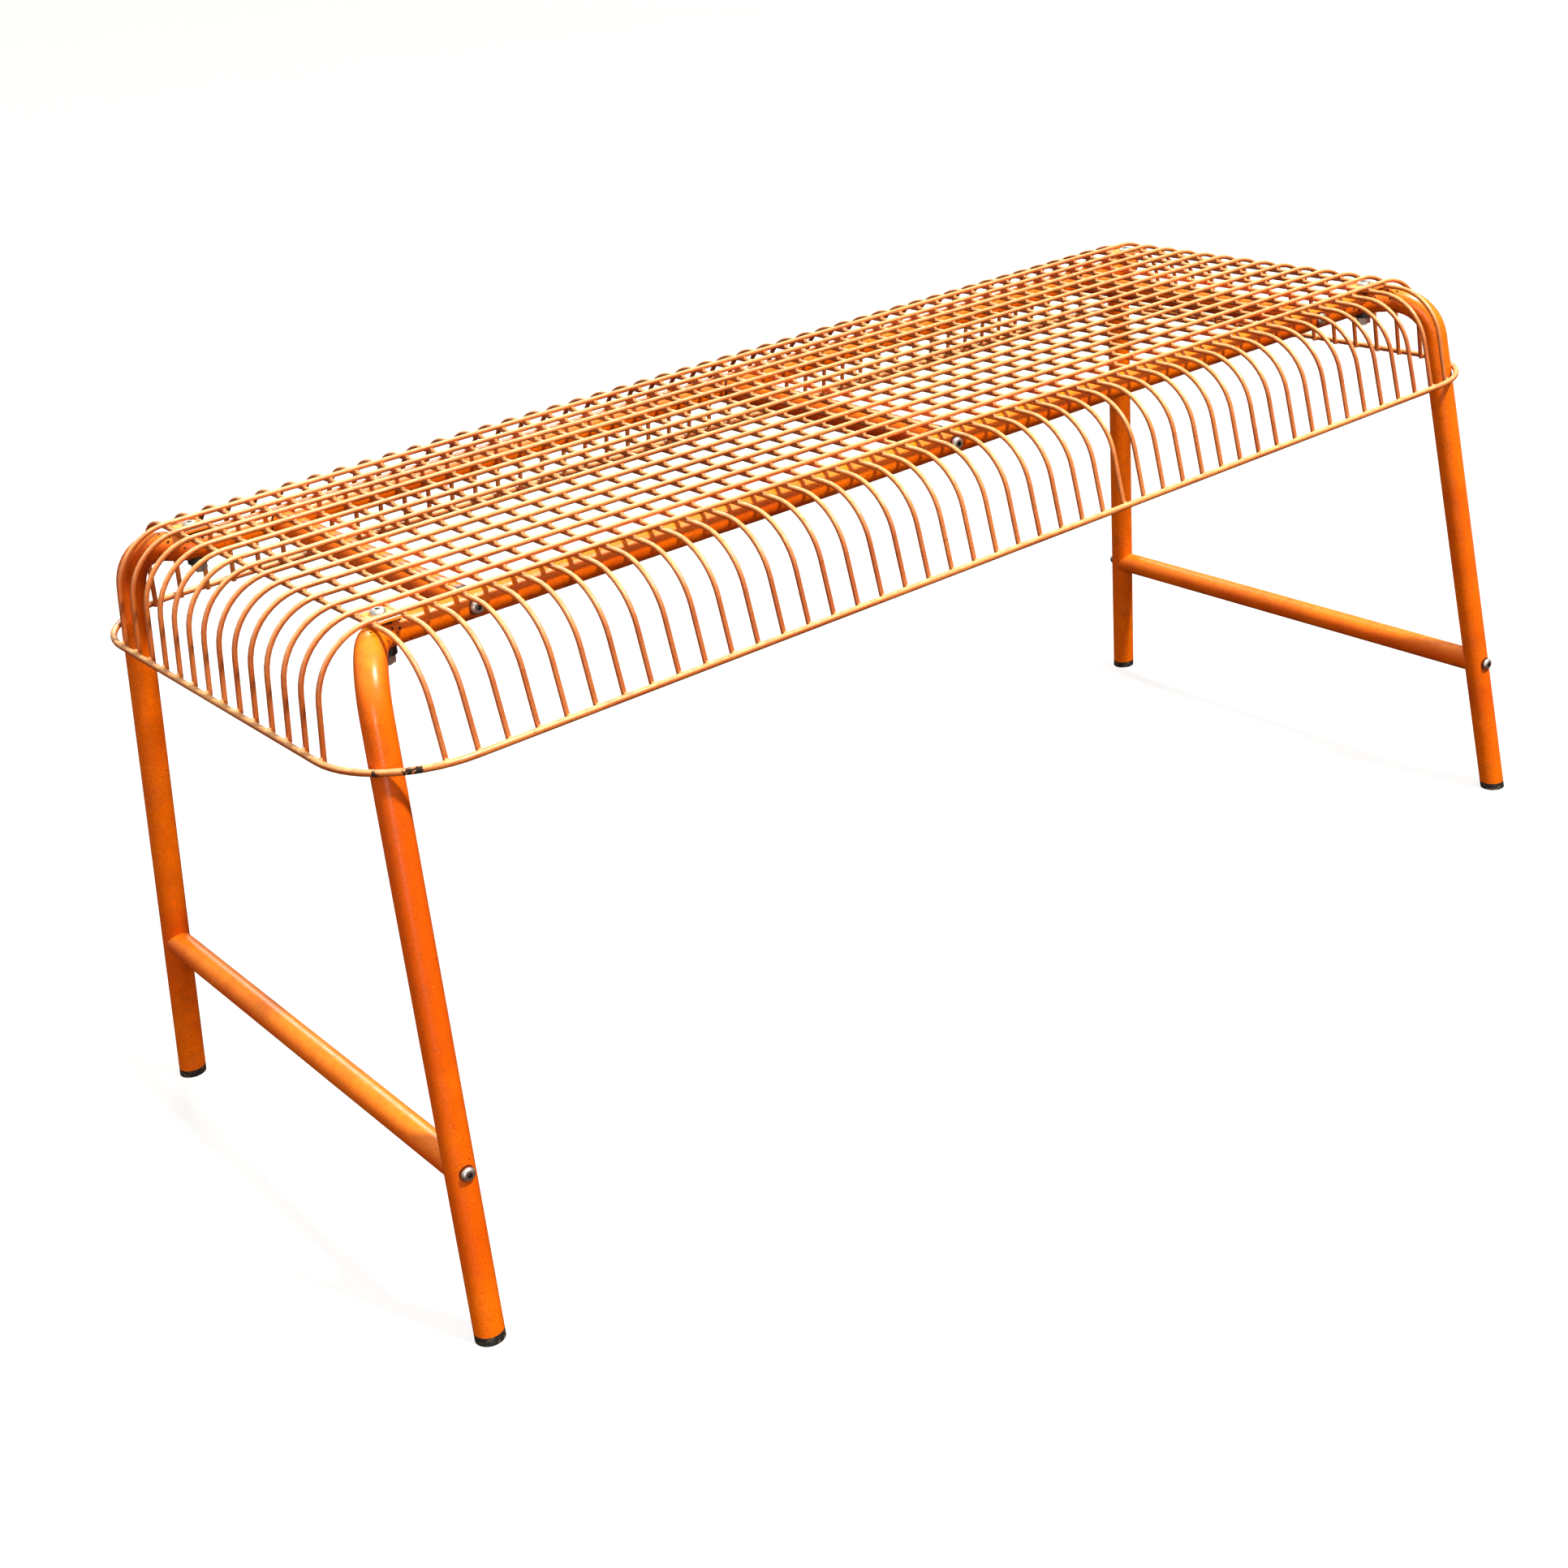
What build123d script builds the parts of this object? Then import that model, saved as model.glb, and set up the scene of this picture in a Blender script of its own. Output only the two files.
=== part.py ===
from build123d import *
from math import asin, atan2, hypot, sqrt, tan
import os

os.makedirs("parts", exist_ok=True)

# A garden bench: a welded wire-mesh seat, bent down all round, on a frame of bent round tube.
# X runs along the bench, the front is at -Y and +Z is up. The origin is on the floor, under
# the middle of the seat. All sizes are in millimetres.

# Frame tubes: one for the front pair of legs and the rail between them, one for the rear pair.
tube_d = 20.0
tube_wall = 1.5
foot_x = 515.0  # a leg's axis at the floor
foot_y = 227.0
gauge_z = 378.0  # height at which a leg's axis is stated a second time
gauge_x = 487.0
gauge_y = 183.0
rail_y = 132.0  # axis of the straight rail under the seat
rail_z = 434.5
rail_turn_x = 455.0  # where the rail turns outward, in plan, towards the leg
rail_turn_r = 30.0
leg_bend_r = 36.0

# Stretchers between the legs of one end, and cross rails between the front and rear rails.
brace_d = 19.0
stretcher_z = 118.5
cross_rail_x = (-390.0, 0.0, 390.0)
cross_rail_names = ("left", "centre", "right")
liner_t = 2.5  # plastic liner between a cross rail's end and the rail
insert_length = 14.0
insert_setback = 2.0  # how far a stretcher's insert lies inside its coped end

# Wire mesh of the seat.
wire_d = 3.5
border_d = 4.5
cross_count = 46
cross_pitch = 20.5
cross_z = 446.5
cross_shoulder_y = 197.0  # where a cross wire would turn down if its bends were sharp
cross_bend_r = 42.0
long_count = 14
long_pitch = 22.8
long_shoulder_x = 500.0
long_bend_r = 44.0
border_half_x = 513.0
border_half_y = 215.5
border_r = 69.0  # the corners of the border just touch the legs
border_z = 377.0
wire_past_border = 1.5  # how far a wire's end reaches below the border's axis
weld_gap = 0.02  # left between a wire's side and the border

# Shape of every button head, as shares of its height.
head_round = 0.8
socket_depth = 0.6

# Corner fixings: tab, screw, upper saddle, rail, lower saddle and nut.
tab_t = 1.5
tab_below_wire = 0.6
saddle_d = 14.0
saddle_t = 2.5
saddle_wrap = 3.5
screw_d = 6.0
screw_head_d = 10.5
screw_head_h = 3.3
screw_socket = 4.0
nut_across = 10.0
nut_h = 5.0
screw_past_nut = 1.5

# Bolts of the cross rails and stretchers.
bolt_d = 5.0
bolt_head_d = 9.5
bolt_head_h = 2.75
bolt_socket = 3.0
bolt_length = 35.0
hole_play = 0.4

# Foot plugs.
foot_h = 6.0
foot_stem = 22.0

# Worked out from the above.
tube_r = tube_d / 2
bore_r = tube_r - tube_wall
brace_r = brace_d / 2
brace_bore_r = brace_r - tube_wall
bolt_hole_r = (bolt_d + hole_play) / 2
screw_hole_r = (screw_d + hole_play) / 2
cutter_length = 4 * tube_d  # long enough to pass right through any one piece
wire_end_z = border_z - wire_past_border
border_reach = (border_d + wire_d) / 2 + weld_gap
long_z = cross_z + wire_d
cross_x = [(i - (cross_count - 1) / 2) * cross_pitch for i in range(cross_count)]
long_y = [(j - (long_count - 1) / 2) * long_pitch for j in range(long_count)]
tab_top = long_z - wire_d / 2 - tab_below_wire
tab_x = cross_x[-1] - cross_pitch / 2
tab_y = long_y[-1] - long_pitch / 2
corners = [(end, side) for side in (-1, 1) for end in (-1, 1)]


def leg_axis(z):
    """How far a leg's axis is from the middle of the bench, along X and along Y, at height z."""
    share = z / gauge_z
    return foot_x + (gauge_x - foot_x) * share, foot_y + (gauge_y - foot_y) * share


def leg_plane(end, side, z):
    """A plane square to one leg, with its origin on the leg's axis at height z."""
    x, y = leg_axis(z)
    lean = (end * (gauge_x - foot_x), side * (gauge_y - foot_y), gauge_z)
    return Plane(origin=(end * x, side * y, z), z_dir=lean)


def dip(distance, start, radius):
    """How far an arc that begins at start has left its tangent, at a distance along it."""
    run = max(distance - start, 0)
    return radius - sqrt(radius**2 - run**2)


def wire_reach(distance, half, start, shoulder, top):
    """How far out a wire ends, so that its side all but touches the border.

    The wire's plane lies at a distance from the middle; half is where the border's axis would cross
    it but for the round corner that begins at start. The wire turns down at shoulder, from height top."""
    squareness = sqrt(1 - (max(distance - start, 0) / border_r) ** 2)
    span = half - dip(distance, start, border_r) - shoulder
    drop = top - border_z
    lean = atan2(span, drop) - asin(border_reach / squareness / hypot(span, drop))
    return shoulder + (top - wire_end_z) * tan(lean)


def rail_axis_y(x):
    """How far the rail's axis is from the middle of the bench, along Y, near its turn."""
    top_x, top_y = leg_axis(rail_z)
    run_x = top_x - rail_turn_x
    run_y = top_y - rail_y
    tangent = rail_turn_r * run_y / (run_x + hypot(run_x, run_y))
    return rail_y + dip(x, rail_turn_x - tangent, rail_turn_r)


def frame_bar(side, diameter, bore=0):
    """A round bar or tube along the centre line of the front or rear frame tube."""
    top_x, top_y = leg_axis(rail_z)
    half = [
        (foot_x, side * foot_y, 0),
        (top_x, side * top_y, rail_z),
        (rail_turn_x, side * rail_y, rail_z),
    ]
    other_half = [(-x, y, z) for x, y, z in reversed(half)]
    with BuildPart() as bar:
        with BuildLine() as path:
            FilletPolyline(*half, *other_half, radius=(leg_bend_r, rail_turn_r, rail_turn_r, leg_bend_r))
        with BuildSketch(Plane(origin=path.line @ 0, z_dir=path.line % 0)):
            Circle(diameter / 2)
            if bore:
                Circle(bore / 2, mode=Mode.SUBTRACT)
        sweep()
    return bar.part


def frame_tube(side):
    """A frame tube, cut level above its feet, with the holes for its bolts and screws."""
    leg_x, leg_y = leg_axis(stretcher_z)
    with BuildPart() as tube:
        add(frame_bar(side, tube_d, tube_d - 2 * tube_wall))
        split(bisect_by=Plane.XY.offset(foot_h), keep=Keep.TOP)
        bolt_places = [(end * leg_x, side * leg_y, stretcher_z) for end in (-1, 1)]
        bolt_places += [(x, side * rail_y, rail_z) for x in cross_rail_x]
        with Locations(*bolt_places):
            Cylinder(bolt_hole_r, cutter_length, rotation=(90, 0, 0), mode=Mode.SUBTRACT)
        with Locations(*[(end * tab_x, side * screw_y, rail_z) for end in (-1, 1)]):
            Cylinder(screw_hole_r, cutter_length, mode=Mode.SUBTRACT)
    return tube.part


def stretcher(end):
    """A tube between the two legs of one end, coped to fit round them."""
    x, y = leg_axis(stretcher_z)
    with BuildPart() as bar:
        with BuildSketch(Plane.XZ):
            with Locations((end * x, stretcher_z)):
                Circle(brace_r)
                Circle(brace_bore_r, mode=Mode.SUBTRACT)
        extrude(amount=y, both=True)
        with Locations(leg_plane(end, -1, stretcher_z), leg_plane(end, 1, stretcher_z)):
            Cylinder(tube_r, cutter_length, mode=Mode.SUBTRACT)
    return bar.part


def cross_rail(x):
    """A tube between the two rails, coped to leave room for its liners."""
    with BuildPart() as bar:
        with BuildSketch(Plane.XZ):
            with Locations((x, rail_z)):
                Circle(brace_r)
                Circle(brace_bore_r, mode=Mode.SUBTRACT)
        extrude(amount=rail_y, both=True)
        with Locations((x, -rail_y, rail_z), (x, rail_y, rail_z)):
            Cylinder(tube_r + liner_t, cutter_length, rotation=(0, 90, 0), mode=Mode.SUBTRACT)
    return bar.part


def liner(x, side):
    """The curved plastic disc between a cross rail's end and the rail."""
    with BuildPart() as disc:
        with Locations((x, side * (rail_y - tube_r), rail_z)):
            Cylinder(brace_r, 2 * tube_r, rotation=(90, 0, 0))
        with Locations((x, side * rail_y, rail_z)):
            Cylinder(tube_r + liner_t, cutter_length, rotation=(0, 90, 0), mode=Mode.INTERSECT)
            Cylinder(tube_r, cutter_length, rotation=(0, 90, 0), mode=Mode.SUBTRACT)
            Cylinder(bolt_hole_r, cutter_length, rotation=(90, 0, 0), mode=Mode.SUBTRACT)
        split(bisect_by=Plane.XZ.offset(-side * rail_y), keep=Keep.TOP if side > 0 else Keep.BOTTOM)
    return disc.part


def insert(x, y, z, side):
    """A threaded plug inside a brace's end; y is its outer face and side the way that faces."""
    with BuildPart() as plug:
        with Locations((x, side * (y - insert_length / 2), z)):
            Cylinder(brace_bore_r, insert_length, rotation=(90, 0, 0))
            Cylinder(bolt_d / 2, insert_length, rotation=(90, 0, 0), mode=Mode.SUBTRACT)
    return plug.part


def button_screw(shank_d, head_d, head_h, socket, length):
    """A button-head screw with a hexagon socket, its head standing on Z = 0."""
    with BuildPart() as screw:
        Cylinder(head_d / 2, head_h, align=(Align.CENTER, Align.CENTER, Align.MIN))
        fillet(screw.edges().filter_by(GeomType.CIRCLE).sort_by(Axis.Z)[-1], head_round * head_h)
        Cylinder(shank_d / 2, length, align=(Align.CENTER, Align.CENTER, Align.MAX))
        with BuildSketch(Plane.XY.offset(head_h)):
            RegularPolygon(socket / 2, 6, major_radius=False)
        extrude(amount=-socket_depth * head_h, mode=Mode.SUBTRACT)
    return screw.part


def tab(end, side):
    """The plate that fills a corner cell of the mesh, with its screw hole."""
    with BuildPart() as plate:
        with BuildSketch(Plane.XY.offset(tab_top - tab_t)):
            with Locations((end * tab_x, side * tab_y)):
                Rectangle(cross_pitch - wire_d, long_pitch + wire_d / 2)
            with Locations((end * tab_x, side * screw_y)):
                Circle(screw_hole_r, mode=Mode.SUBTRACT)
        extrude(amount=tab_t)
    return plate.part


def saddle(end, side, low, high):
    """A plastic disc under or over the rail, hollowed to fit it, with its screw hole."""
    with BuildPart() as block:
        with BuildSketch(Plane.XY.offset(low)):
            with Locations((end * tab_x, side * screw_y)):
                Circle(saddle_d / 2)
        extrude(amount=high - low)
        add(frame_bar(side, tube_d), mode=Mode.SUBTRACT)
        with Locations((end * tab_x, side * screw_y, low)):
            Cylinder(screw_hole_r, cutter_length, mode=Mode.SUBTRACT)
    return block.part


def foot(end, side):
    """A foot plug: a head cut level with the floor and a stem pushed into the leg."""
    floor = leg_plane(end, side, 0)
    with BuildPart() as plug:
        with Locations(floor):
            Cylinder(tube_r, cutter_length)
        split(bisect_by=Plane.XY.offset(foot_h), keep=Keep.BOTTOM)
        with Locations(floor):
            Cylinder(bore_r, foot_stem, align=(Align.CENTER, Align.CENTER, Align.MIN))
        split(bisect_by=Plane.XY, keep=Keep.TOP)
    return plug.part


def bent_wire(plane, reach, shoulder, top, radius):
    """A wire that runs level at height top and leans out and down to the border at both ends."""
    with BuildPart() as wire:
        with BuildLine(plane) as path:
            FilletPolyline(
                (-reach, wire_end_z), (-shoulder, top), (shoulder, top), (reach, wire_end_z), radius=radius
            )
        with BuildSketch(Plane(origin=path.line @ 0, z_dir=path.line % 0)):
            Circle(wire_d / 2)
        sweep()
    return wire.part


def save(builder, name):
    builder.part.label = name
    export_step(builder.part, f"parts/{name}.step")


screw_y = rail_axis_y(tab_x)

# Frame
with BuildPart() as front_frame_tube:
    add(frame_tube(-1))
save(front_frame_tube, "front_frame_tube")

with BuildPart() as rear_frame_tube:
    add(frame_tube(1))
save(rear_frame_tube, "rear_frame_tube")

with BuildPart() as left_stretcher:
    add(stretcher(-1))
save(left_stretcher, "left_stretcher")

with BuildPart() as right_stretcher:
    add(stretcher(1))
save(right_stretcher, "right_stretcher")

for name, x in zip(cross_rail_names, cross_rail_x):
    with BuildPart() as rail:
        add(cross_rail(x))
    save(rail, f"cross_rail_{name}")

with BuildPart() as cross_rail_liners:
    add([liner(x, side) for x in cross_rail_x for side in (-1, 1)])
save(cross_rail_liners, "cross_rail_liners")

with BuildPart() as cross_rail_inserts:
    face_y = rail_y - tube_r - liner_t
    add([insert(x, face_y, rail_z, side) for x in cross_rail_x for side in (-1, 1)])
save(cross_rail_inserts, "cross_rail_inserts")

with BuildPart() as stretcher_inserts:
    leg_x, leg_y = leg_axis(stretcher_z)
    face_y = leg_y - tube_r - insert_setback
    add([insert(end * leg_x, face_y, stretcher_z, side) for end, side in corners])
save(stretcher_inserts, "stretcher_inserts")

# Bolts: the heads lie on the outer faces of the rails and legs
bolt = button_screw(bolt_d, bolt_head_d, bolt_head_h, bolt_socket, bolt_length)

with BuildPart() as cross_rail_bolts:
    for side in (-1, 1):
        with Locations(*[(x, side * (rail_y + tube_r), rail_z) for x in cross_rail_x]):
            add(bolt, rotation=(-side * 90, 0, 0))
save(cross_rail_bolts, "cross_rail_bolts")

with BuildPart() as stretcher_bolts:
    lean = (foot_y - gauge_y) / gauge_z
    seat_y = leg_y + tube_r * hypot(1, lean) + bolt_head_d / 2 * lean
    for side in (-1, 1):
        with Locations(*[(end * leg_x, side * seat_y, stretcher_z) for end in (-1, 1)]):
            add(bolt, rotation=(-side * 90, 0, 0))
save(stretcher_bolts, "stretcher_bolts")

# Seat
with BuildPart() as seat_cross_wires:
    wires = []
    for x in cross_x:
        reach = wire_reach(abs(x), border_half_y, border_half_x - border_r, cross_shoulder_y, cross_z)
        wires.append(bent_wire(Plane.YZ.offset(x), reach, cross_shoulder_y, cross_z, cross_bend_r))
    add(wires)
save(seat_cross_wires, "seat_cross_wires")

with BuildPart() as seat_long_wires:
    wires = []
    for y in long_y:
        reach = wire_reach(abs(y), border_half_x, border_half_y - border_r, long_shoulder_x, long_z)
        wires.append(bent_wire(Plane.XZ.offset(-y), reach, long_shoulder_x, long_z, long_bend_r))
    add(wires)
save(seat_long_wires, "seat_long_wires")

with BuildPart() as border_wire:
    with BuildLine(Plane.XY.offset(border_z)) as loop:
        x, y = border_half_x, border_half_y
        FilletPolyline((x, y), (-x, y), (-x, -y), (x, -y), radius=border_r, close=True)
    with BuildSketch(Plane(origin=loop.line @ 0, z_dir=loop.line % 0)):
        Circle(border_d / 2)
    sweep()
save(border_wire, "border_wire")

# Corner fixings
for end, side in corners:
    name = ("front" if side < 0 else "rear") + ("_left" if end < 0 else "_right")
    with BuildPart() as corner_tab:
        add(tab(end, side))
    save(corner_tab, f"corner_tab_{name}")
    with BuildPart() as foot_plug:
        add(foot(end, side))
    save(foot_plug, f"foot_{name}")

with BuildPart() as upper_saddles:
    add([saddle(end, side, rail_z, tab_top - tab_t) for end, side in corners])
save(upper_saddles, "upper_saddles")

with BuildPart() as lower_saddles:
    low = rail_z - tube_r - saddle_t
    add([saddle(end, side, low, low + saddle_t + saddle_wrap) for end, side in corners])
save(lower_saddles, "lower_saddles")

with BuildPart() as seat_nuts:
    with BuildSketch(Plane.XY.offset(low)):
        with Locations(*[(end * tab_x, side * screw_y) for end, side in corners]):
            RegularPolygon(nut_across / 2, 6, major_radius=False)
            Circle(screw_d / 2, mode=Mode.SUBTRACT)
    extrude(amount=-nut_h)
save(seat_nuts, "seat_nuts")

with BuildPart() as seat_screws:
    length = tab_top - low + nut_h + screw_past_nut
    screw = button_screw(screw_d, screw_head_d, screw_head_h, screw_socket, length)
    with Locations(*[(end * tab_x, side * screw_y, tab_top) for end, side in corners]):
        add(screw)
save(seat_screws, "seat_screws")
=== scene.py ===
from math import copysign, cos, radians, sin

import bmesh
import bpy
from mathutils import Matrix, Quaternion, Vector
from mathutils.bvhtree import BVHTree


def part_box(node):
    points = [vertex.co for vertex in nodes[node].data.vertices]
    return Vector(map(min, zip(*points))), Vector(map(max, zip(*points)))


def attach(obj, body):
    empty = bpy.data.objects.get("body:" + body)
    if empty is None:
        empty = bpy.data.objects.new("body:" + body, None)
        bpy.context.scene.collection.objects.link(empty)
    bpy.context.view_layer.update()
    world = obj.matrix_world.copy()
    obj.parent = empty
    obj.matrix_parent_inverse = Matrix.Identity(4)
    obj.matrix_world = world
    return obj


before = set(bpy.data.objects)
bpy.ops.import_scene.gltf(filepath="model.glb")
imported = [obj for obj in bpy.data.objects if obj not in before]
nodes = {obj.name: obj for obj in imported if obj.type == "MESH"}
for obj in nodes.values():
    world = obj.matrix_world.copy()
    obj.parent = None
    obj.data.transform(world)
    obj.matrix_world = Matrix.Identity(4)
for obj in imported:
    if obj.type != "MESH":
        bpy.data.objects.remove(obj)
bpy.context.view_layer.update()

# A wire-mesh garden bench in orange powder coat. The tubes, wires, tabs, fasteners and feet are
# CAD nodes and get their finish here; the weld beads are made here. Units are metres.

# The mesh of the seat
cross_count = 46
long_count = 14
wire_d = 0.0035
cross_bead = (0.0023, 0.0023, 0.0011)  # half sizes of the bead where two seat wires cross
border_bead = (0.0020, 0.0015, 0.0026)  # and where a wire's end meets the border
border_corner = 0.069  # radius of the border's corners
border_r = 0.00225

# The fasteners
bolt_head_r = 0.00475
bolt_head_h = 0.00275
bolt_socket_out = 0.0018  # from a bolt head's seat to the middle of its socket
screw_head_r = 0.00525
screw_socket_depth = 0.001  # from the top of a screw's head to the middle of its socket

# How far the marks reach round their places: the painted shade round the bolt heads and in the
# sockets, and the knocks
head_shade_reach = 0.0075
knock_reach = 0.0062
socket_reach = 0.004
knock_drop = 0.0022  # from the border's centre line to the lowest knock

# The camera
camera_place = Vector((-0.9752, -1.2908, 0.8874))
camera_aim = Vector((-0.0448, -0.0504, 0.1573))
camera_roll = radians(-6.0)
camera_lens = 50.8
camera_shift = -0.05


def linear(red, green, blue):
    """A linear colour with alpha from screen values of 0 to 255."""
    shares = (
        ((c / 255 + 0.055) / 1.055) ** 2.4 if c > 10 else c / 3295 for c in (red, green, blue)
    )
    return (*shares, 1)


class Nodes:
    """A material's node tree with short calls for the nodes that the finishes share."""

    def __init__(self, name):
        self.material = bpy.data.materials.new(name)
        self.material.use_nodes = True
        self.tree = self.material.node_tree
        self.tree.nodes.clear()
        self.shader = self.add("ShaderNodeBsdfPrincipled")
        output = self.add("ShaderNodeOutputMaterial")
        self.tree.links.new(self.shader.outputs[0], output.inputs[0])
        self.place = self.add("ShaderNodeTexCoord").outputs["Object"]

    def add(self, kind, **inputs):
        node = self.tree.nodes.new(kind)
        for key, value in inputs.items():
            self.put(node.inputs[key.replace("_", " ")], value)
        return node

    def put(self, socket, value):
        if isinstance(value, bpy.types.NodeSocket):
            self.tree.links.new(value, socket)
        else:
            socket.default_value = value

    def noise(self, scale, detail=2.0, roughness=0.5, at=None):
        node = self.add("ShaderNodeTexNoise", Scale=scale, Detail=detail, Roughness=roughness)
        self.put(node.inputs["Vector"], at or self.place)
        return node.outputs["Fac"]

    def cells(self, scale):
        """Distance to the nearest of many scattered points."""
        node = self.add("ShaderNodeTexVoronoi", Scale=scale)
        self.put(node.inputs["Vector"], self.place)
        return node.outputs["Distance"]

    def stretched(self, factors):
        """The place, scaled by its own factor along each axis."""
        node = self.add("ShaderNodeMapping")
        self.put(node.inputs["Vector"], self.place)
        node.inputs["Scale"].default_value = factors
        return node.outputs[0]

    def math(self, operation, a, b):
        node = self.add("ShaderNodeMath")
        node.operation = operation
        self.put(node.inputs[0], a)
        self.put(node.inputs[1], b)
        return node.outputs[0]

    def between(self, value, low, high, to_low=0.0, to_high=1.0):
        """Turns low..high of a value into to_low..to_high, smoothly and clamped."""
        node = self.add("ShaderNodeMapRange")
        node.interpolation_type = "SMOOTHSTEP"
        for socket, number in zip(node.inputs, (value, low, high, to_low, to_high)):
            self.put(socket, number)
        return node.outputs[0]

    def mix(self, share, a, b):
        """Colour a, with a share of colour b in it."""
        node = self.add("ShaderNodeMix")
        node.data_type = "RGBA"
        self.put(node.inputs[0], share)
        self.put(node.inputs[6], a)
        self.put(node.inputs[7], b)
        return node.outputs[2]

    def near(self, points, radius):
        """1 at the given points, falling to 0 at a distance of radius."""
        masks = []
        for point in points:
            node = self.add("ShaderNodeVectorMath")
            node.operation = "DISTANCE"
            self.put(node.inputs[0], self.place)
            node.inputs[1].default_value = point
            masks.append(self.between(node.outputs["Value"], 0.0, radius, 1.0, 0.0))
        total = masks[0]
        for mask in masks[1:]:
            total = self.math("MAXIMUM", total, mask)
        return total

    def facing_up(self):
        """The upward share of the surface's direction, from -1 underneath to 1 on top."""
        split = self.add("ShaderNodeSeparateXYZ")
        self.put(split.inputs[0], self.add("ShaderNodeNewGeometry").outputs["Normal"])
        return split.outputs["Z"]

    def bump(self, height, distance, strength, under=None):
        """A surface direction that follows a height, on top of the one passed as under."""
        node = self.add("ShaderNodeBump", Strength=strength, Distance=distance, Height=height)
        if under:
            self.put(node.inputs["Normal"], under)
        return node.outputs[0]

    def finish(self, colour, roughness, normal, **plain):
        """Joins the shader up and returns the material.

        plain holds the values that are the same all over."""
        self.put(self.shader.inputs["Base Color"], colour)
        self.put(self.shader.inputs["Roughness"], roughness)
        self.put(self.shader.inputs["Normal"], normal)
        for key, value in plain.items():
            self.shader.inputs[key.replace("_", " ")].default_value = value
        return self.material


def paint(name, colours, chip_share, worn_at, worn_radius, knocks=(), heads=()):
    """Semi-gloss orange powder coat: mottled, painted lighter on top as a highlight, with chips
    down to dark steel.

    colours are those of the coat where it is fresh and deep, of the painted highlight on its top,
    and of its fine speckles.
    chip_share says how readily the coat has chipped, worn_at where it has chipped most, knocks
    where it has been knocked off, and heads the bolt heads, round which a ring of painted shade is
    laid."""
    fresh, deep, highlight_colour, stain = colours
    n = Nodes(name)
    patches = n.noise(9.0, 4.0, 0.6)
    mottle = n.noise(140.0, 3.0, 0.6)
    speckle = n.noise(650.0, 4.0, 0.75)
    up = n.facing_up()
    colour = n.mix(n.between(patches, 0.35, 0.65), fresh, deep)
    colour = n.mix(n.between(speckle, 0.46, 0.64, 0.0, 0.55), colour, stain)
    # Painted highlight: the tops turn towards the highlight colour, where the light falls on them
    top_highlight_share = n.math("MULTIPLY", n.between(up, 0.1, 0.95), n.between(mottle, 0.3, 0.7, 0.55, 1.0))
    colour = n.mix(n.math("MULTIPLY", top_highlight_share, 0.85), colour, highlight_colour)

    # Brown patches all over, heavier on the undersides: partly grime, partly painted shade on the
    # undersides
    underside_patches = n.noise(55.0, 5.0, 0.65)
    downward = n.between(up, 0.2, -0.9, 0.15, 1.0)
    grime_and_painted_shade = n.math("MULTIPLY", downward, n.between(underside_patches, 0.48, 0.72))
    colour = n.mix(n.math("MULTIPLY", grime_and_painted_shade, 0.6), colour, linear(110, 46, 14))

    # Painted shade: a dark ring round each bolt head, where the head sits on the tube
    if heads:
        head_shade_ring = n.between(n.near(heads, head_shade_reach), 0.06, 0.26)
        colour = n.mix(n.math("MULTIPLY", head_shade_ring, 0.9), colour, linear(46, 16, 8))

    # Chips: small scattered cells, larger and closer together at the worn places
    worn = n.near(worn_at, worn_radius)
    ragged = n.math("ADD", n.cells(210.0), n.math("MULTIPLY", n.noise(900.0, 3.0, 0.7), 0.22))
    rare = n.between(n.noise(23.0, 3.0, 0.55), 0.5, 0.72)
    reach = n.math("ADD", n.math("MULTIPLY", rare, chip_share), n.math("MULTIPLY", worn, 0.30))
    chip = n.between(n.math("SUBTRACT", ragged, reach), 0.10, 0.13, 1.0, 0.0)
    if knocks:
        edge = n.between(n.noise(420.0, 3.0, 0.6), 0.35, 0.65, 0.15, 0.75)
        knocked = n.between(n.math("SUBTRACT", n.near(knocks, knock_reach), edge), -0.03, 0.03)
        chip = n.math("MAXIMUM", chip, knocked)
    steel = n.mix(n.between(n.noise(600.0, 2.0), 0.4, 0.6), linear(9, 6, 5), linear(48, 22, 12))
    colour = n.mix(chip, colour, steel)

    # Hairline scratches, paler than the coat
    lines = n.noise(1.0, 4.0, 0.7, at=n.stretched((90.0, 1400.0, 900.0)))
    scratch = n.math("MULTIPLY", n.between(lines, 0.66, 0.70), n.between(patches, 0.45, 0.6))
    colour = n.mix(n.math("MULTIPLY", scratch, 0.35), colour, linear(255, 190, 120))

    roughness = n.between(n.noise(40.0, 4.0, 0.6), 0.3, 0.7, 0.24, 0.36)
    roughness = n.math("ADD", roughness, n.math("MULTIPLY", n.math("MAXIMUM", chip, grime_and_painted_shade), 0.5))
    peel = n.bump(n.noise(750.0, 2.0, 0.4), 0.00012, 0.35)
    normal = n.bump(n.math("SUBTRACT", 1.0, chip), 0.00025, 0.8, under=peel)
    return n.finish(colour, roughness, normal, IOR=1.5, Specular_IOR_Level=0.4)


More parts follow.
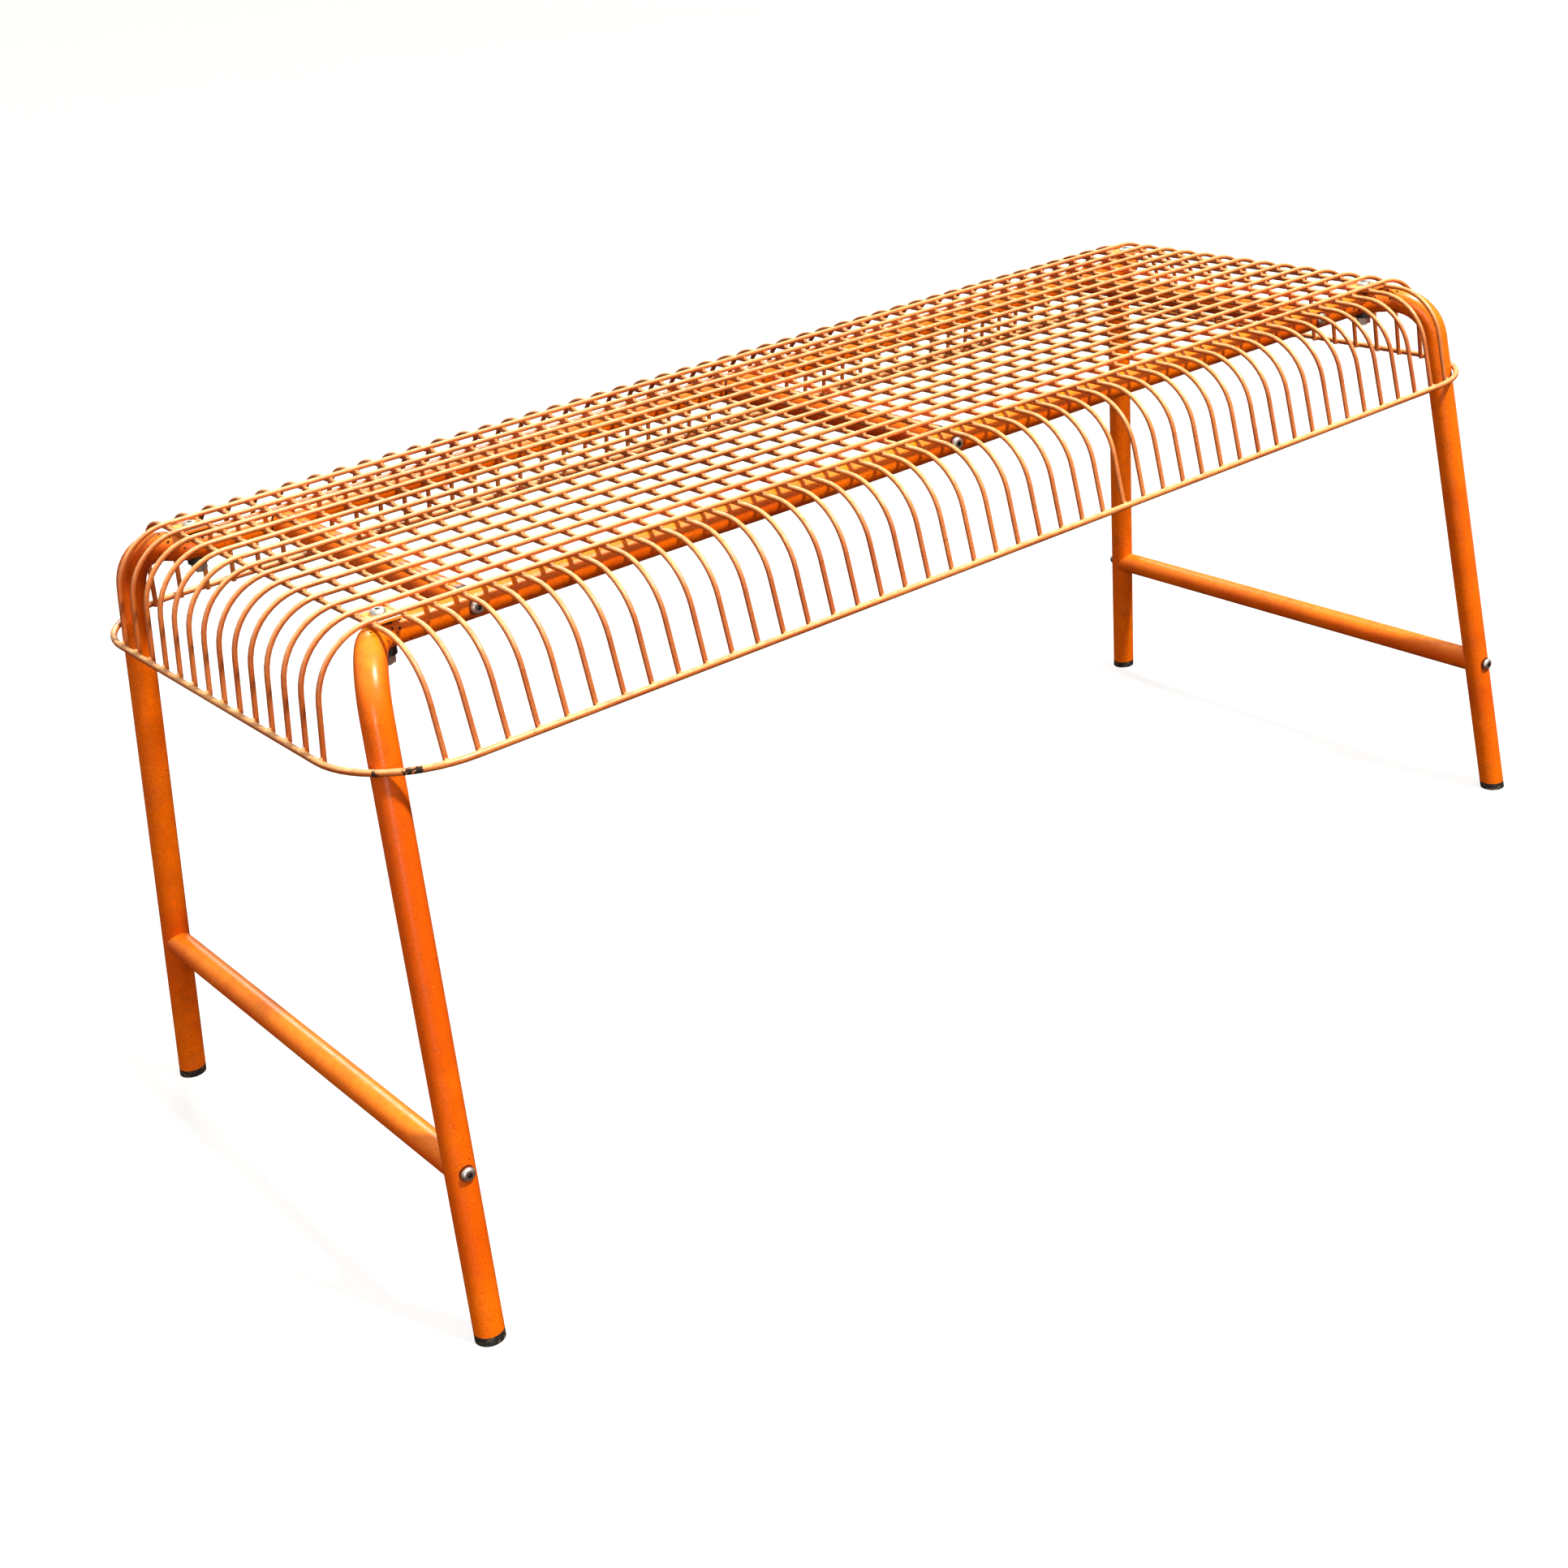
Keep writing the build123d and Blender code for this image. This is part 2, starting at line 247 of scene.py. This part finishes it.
def zinc(name, sockets=()):
    """Bright zinc-plated steel, finely grained and dulled in spots, with painted shade in the
    sockets.
    """
    n = Nodes(name)
    spots = n.noise(420.0, 4.0, 0.65)
    colour = n.mix(n.between(spots, 0.4, 0.7), linear(236, 236, 232), linear(190, 188, 182))
    rust = n.between(n.noise(900.0, 3.0, 0.6), 0.66, 0.74)
    colour = n.mix(n.math("MULTIPLY", rust, 0.6), colour, linear(116, 72, 40))
    if sockets:
        # Painted shade: the sockets darken on their rims and walls, less so at the very middle
        depth = n.near(sockets, socket_reach)
        socket_shade = n.math("SUBTRACT", n.between(depth, 0.35, 0.6), n.between(depth, 0.84, 0.93))
        colour = n.mix(n.math("MULTIPLY", socket_shade, 0.9), colour, linear(24, 20, 18))
    roughness = n.between(spots, 0.3, 0.7, 0.30, 0.48)
    grain = n.noise(1.0, 3.0, 0.6, at=n.stretched((2600.0, 500.0, 2600.0)))
    return n.finish(colour, roughness, n.bump(grain, 0.00004, 0.5), Metallic=1.0)


def plastic(name, dusty_below):
    """Matt black moulded plastic, scuffed grey, and dusty close to the floor."""
    n = Nodes(name)
    split = n.add("ShaderNodeSeparateXYZ")
    n.put(split.inputs[0], n.place)
    low = n.between(split.outputs["Z"], 0.0, dusty_below, 1.0, 0.0)
    scuff = n.between(n.noise(300.0, 5.0, 0.7), 0.5, 0.72)
    colour = n.mix(n.noise(60.0, 3.0), linear(16, 15, 15), linear(34, 32, 30))
    dust = n.math("MULTIPLY", scuff, n.math("ADD", n.math("MULTIPLY", low, 0.55), 0.25))
    colour = n.mix(dust, colour, linear(138, 120, 100))
    roughness = n.between(n.noise(200.0, 3.0), 0.3, 0.7, 0.5, 0.72)
    return n.finish(colour, roughness, n.bump(n.noise(1500.0, 2.0), 0.00008, 0.6))


def ball(mesh, centre, half_sizes, axes):
    """Adds one small ellipsoid to a bmesh."""
    placed = Matrix.Translation(centre) @ axes.to_4x4() @ Matrix.Diagonal((*half_sizes, 1))
    bmesh.ops.create_icosphere(mesh, subdivisions=2, radius=1.0, matrix=placed)


def piece(name, mesh, material):
    """Makes a named piece of the bench from a bmesh, smooth shaded, on the root body."""
    data = bpy.data.meshes.new(name)
    mesh.to_mesh(data)
    mesh.free()
    data.polygons.foreach_set("use_smooth", [True] * len(data.polygons))
    data.materials.append(material)
    obj = bpy.data.objects.new(name, data)
    bpy.context.scene.collection.objects.link(obj)
    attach(obj, "root")


def spaced(low, high, count):
    """Evenly spaced numbers from low to high."""
    return [low + (high - low) * i / (count - 1) for i in range(count)]


def wire_ends(node):
    """The centres of the level end faces of a node's wires."""
    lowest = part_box(node)[0].z
    groups = []
    for vertex in nodes[node].data.vertices:
        if vertex.co.z > lowest + wire_d / 4:
            continue
        for group in groups:
            if (group[0] - vertex.co).length < 1.5 * wire_d:
                group.append(vertex.co)
                break
        else:
            groups.append([vertex.co])
    return [(min(g, key=lambda p: p.x) + max(g, key=lambda p: p.x)) / 2 for g in groups]


def weld_beads(material):
    """The small beads where the seat's wires are welded to each other and to the border."""
    mesh = bmesh.new()
    cross_low, cross_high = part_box("seat_cross_wires")
    long_low, long_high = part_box("seat_long_wires")
    inset = wire_d / 2
    for x in spaced(cross_low.x + inset, cross_high.x - inset, cross_count):
        for y in spaced(long_low.y + inset, long_high.y - inset, long_count):
            ball(mesh, Vector((x, y, cross_high.z)), cross_bead, Matrix.Identity(3))
    border = nodes["border_wire"].data
    tree = BVHTree.FromPolygons(
        [vertex.co for vertex in border.vertices], [face.vertices for face in border.polygons]
    )
    border_z = sum(corner.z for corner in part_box("border_wire")) / 2
    for end in wire_ends("seat_cross_wires") + wire_ends("seat_long_wires"):
        end.z = border_z
        touch, outward = tree.find_nearest(end)[:2]
        outward = Vector((outward.x, outward.y, 0)).normalized()
        along = outward.cross(Vector((0, 0, 1)))
        axes = Matrix((along, outward, Vector((0, 0, 1)))).transposed()
        ball(mesh, touch, border_bead, axes)
    piece("weld_beads", mesh, material)


def cover(material, *names):
    """Gives CAD nodes their finish."""
    for name in names:
        data = nodes[name].data
        data.materials.clear()
        data.materials.append(material)


def area_light(name, place, aim, size, power, colour):
    """A soft oval lamp at a place, turned towards its aim."""
    data = bpy.data.lights.new(name, "AREA")
    data.shape = "ELLIPSE"
    data.size, data.size_y = size
    data.energy = power
    data.color = colour
    light = bpy.data.objects.new(name, data)
    light.location = place
    light.rotation_euler = (Vector(aim) - Vector(place)).to_track_quat("-Z", "Y").to_euler()
    bpy.context.scene.collection.objects.link(light)


def stage_piece(name, mesh, grey, glow):
    """A plain floor or backdrop that shows evenly pale and throws no light back at the bench."""
    data = bpy.data.meshes.new(name)
    mesh.to_mesh(data)
    mesh.free()
    obj = bpy.data.objects.new(name, data)
    bpy.context.scene.collection.objects.link(obj)
    obj.visible_diffuse = False
    obj.visible_glossy = False
    n = Nodes(name + "_white")
    darker, lighter = (0.95 * grey,) * 3 + (1,), (grey,) * 3 + (1,)
    shade = n.mix(n.noise(3.0, 3.0), darker, lighter)
    grain = n.bump(n.noise(200.0), 0.0002, 0.2)
    white = (1, 1, 1, 1)
    data.materials.append(
        n.finish(shade, 0.9, grain, Emission_Strength=glow, Emission_Color=white)
    )
    return obj


def studio():
    """A plain pale floor and backdrop, a key light high at the front, and two weak soft lights."""
    reach = 40.0  # radius of the floor
    floor = bmesh.new()
    bmesh.ops.create_circle(floor, cap_ends=True, segments=64, radius=reach)
    stage_piece("floor", floor, 0.30, 0.72)
    dome = bmesh.new()
    bmesh.ops.create_uvsphere(dome, u_segments=48, v_segments=24, radius=reach - 1)
    stage_piece("backdrop", dome, 0.0, 1.0).visible_shadow = False

    # Dim and warm from below, brighter from above
    world = bpy.data.worlds.new("surround")
    world.use_nodes = True
    tree = world.node_tree
    split = tree.nodes.new("ShaderNodeSeparateXYZ")
    tree.links.new(tree.nodes.new("ShaderNodeTexCoord").outputs["Generated"], split.inputs[0])
    ramp = tree.nodes.new("ShaderNodeValToRGB")
    ramp.color_ramp.elements[0].position = 0.30
    ramp.color_ramp.elements[0].color = (0.10, 0.035, 0.02, 1)
    ramp.color_ramp.elements[1].position = 0.62
    ramp.color_ramp.elements[1].color = (0.36, 0.32, 0.28, 1)
    ramp.color_ramp.elements.new(0.96).color = (1.1, 1.08, 1.02, 1)
    height = tree.nodes.new("ShaderNodeMapRange")
    height.inputs["From Min"].default_value = -1.0
    tree.links.new(split.outputs["Z"], height.inputs[0])
    tree.links.new(height.outputs[0], ramp.inputs[0])
    tree.links.new(ramp.outputs[0], tree.nodes["Background"].inputs[0])
    bpy.context.scene.world = world

    area_light("key", (0.8, -2.3, 4.1), (0, 0, 0.4), (0.40, 0.40), 335, (1.0, 0.96, 0.88))
    area_light("fill", (-2.6, -2.9, 0.7), (0, 0, 0.3), (0.6, 1.6), 32, (1.0, 0.94, 0.86))
    area_light("back", (1.5, 3.2, 2.2), (0, 0, 0.3), (1.4, 1.4), 50, (1.0, 0.97, 0.93))


def camera():
    """The camera, at the photo's viewing angle."""
    data = bpy.data.cameras.new("camera")
    data.lens = camera_lens
    data.sensor_width = 36.0
    data.shift_x = camera_shift
    obj = bpy.data.objects.new("camera", data)
    obj.location = camera_place
    obj.rotation_mode = "QUATERNION"
    look = (camera_aim - camera_place).to_track_quat("-Z", "Y")
    obj.rotation_quaternion = look @ Quaternion((0, 0, 1), camera_roll)
    bpy.context.scene.collection.objects.link(obj)
    bpy.context.scene.camera = obj


def corners(name):
    """The names of the four nodes of a kind that stand at the bench's corners."""
    return [f"{name}_{side}_{end}" for side in ("front", "rear") for end in ("left", "right")]


def middle(node):
    """The middle of a node's box."""
    low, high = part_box(node)
    return (low + high) / 2


def head_seats(node, columns):
    """Where the bolt heads of a node sit on their tubes, on both sides of the bench."""
    low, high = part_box(node)
    x, y, z = high.x - bolt_head_r, high.y - bolt_head_h, (low.z + high.z) / 2
    return [Vector((x * column, y * side, z)) for column in columns for side in (-1, 1)]


def bolt_sockets(seats):
    """The middles of the sockets in the bolt heads that sit on the given seats."""
    return [seat + Vector((0, copysign(bolt_socket_out, seat.y), 0)) for seat in seats]


def screw_sockets():
    """The middles of the sockets in the heads of the seat's screws."""
    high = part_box("seat_screws")[1]
    x, y, z = high.x - screw_head_r, high.y - screw_head_r, high.z - screw_socket_depth
    return [Vector((end * x, side * y, z)) for end in (-1, 1) for side in (-1, 1)]


def border_point(end, side, degrees):
    """A point on the border's centre line at one corner, in the direction of an angle in plan."""
    low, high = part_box("border_wire")
    x = end * (high.x - border_r - border_corner)
    y = side * (high.y - border_r - border_corner)
    angle = radians(degrees)
    out = Vector((cos(angle), sin(angle), 0)) * border_corner
    return Vector((x, y, (low.z + high.z) / 2)) + out


camera()
studio()

tab_centres = [middle(tab) for tab in corners("corner_tab")]
bolt_heads = head_seats("cross_rail_bolts", (-1, 0, 1)) + head_seats("stretcher_bolts", (-1, 1))
knocks = [border_point(-1, -1, 219.5) - Vector((0, 0, knock_drop)), border_point(1, -1, 338)]
knocks += [border_point(-1, -1, degrees) for degrees in (236, 240)]

# Colours of the coat: fresh, deep, the painted highlight on top, and its fine speckles
tube_colours = linear(246, 112, 2), linear(226, 88, 1), linear(254, 142, 22), linear(176, 80, 2)
wire_colours = (
    linear(206, 120, 60), linear(176, 86, 34), linear(244, 194, 132), linear(150, 66, 22)
)
fresh, deep = tube_colours[:2]
# The tabs get a paler copy of the coat: a painted highlight on their flat tops
lit_tab_colours = linear(250, 160, 60), fresh, linear(255, 210, 120), deep
tube_paint = paint("tube_paint", tube_colours, 0.10, tab_centres, 0.05, heads=bolt_heads)
wire_paint = paint("wire_paint", wire_colours, 0.10, tab_centres, 0.02, knocks=knocks)
tab_paint = paint("tab_paint", lit_tab_colours, 0.25, tab_centres, 0.02)
zinc_plate = zinc("zinc_plate", bolt_sockets(bolt_heads) + screw_sockets())
black_plastic = plastic("black_plastic", 0.01)

cover(tube_paint, "front_frame_tube", "rear_frame_tube", "left_stretcher", "right_stretcher")
cover(tube_paint, "cross_rail_left", "cross_rail_centre", "cross_rail_right")
cover(wire_paint, "seat_cross_wires", "seat_long_wires", "border_wire")
cover(tab_paint, *corners("corner_tab"))
cover(zinc_plate, "cross_rail_bolts", "stretcher_bolts", "seat_screws", "seat_nuts")
cover(zinc("zinc_inside"), "cross_rail_inserts", "stretcher_inserts")
cover(black_plastic, "cross_rail_liners", "upper_saddles", "lower_saddles", *corners("foot"))

weld_beads(wire_paint)

# The plain view transform keeps the orange as strong as it is in the photo
bpy.context.scene.view_settings.view_transform = "Standard"
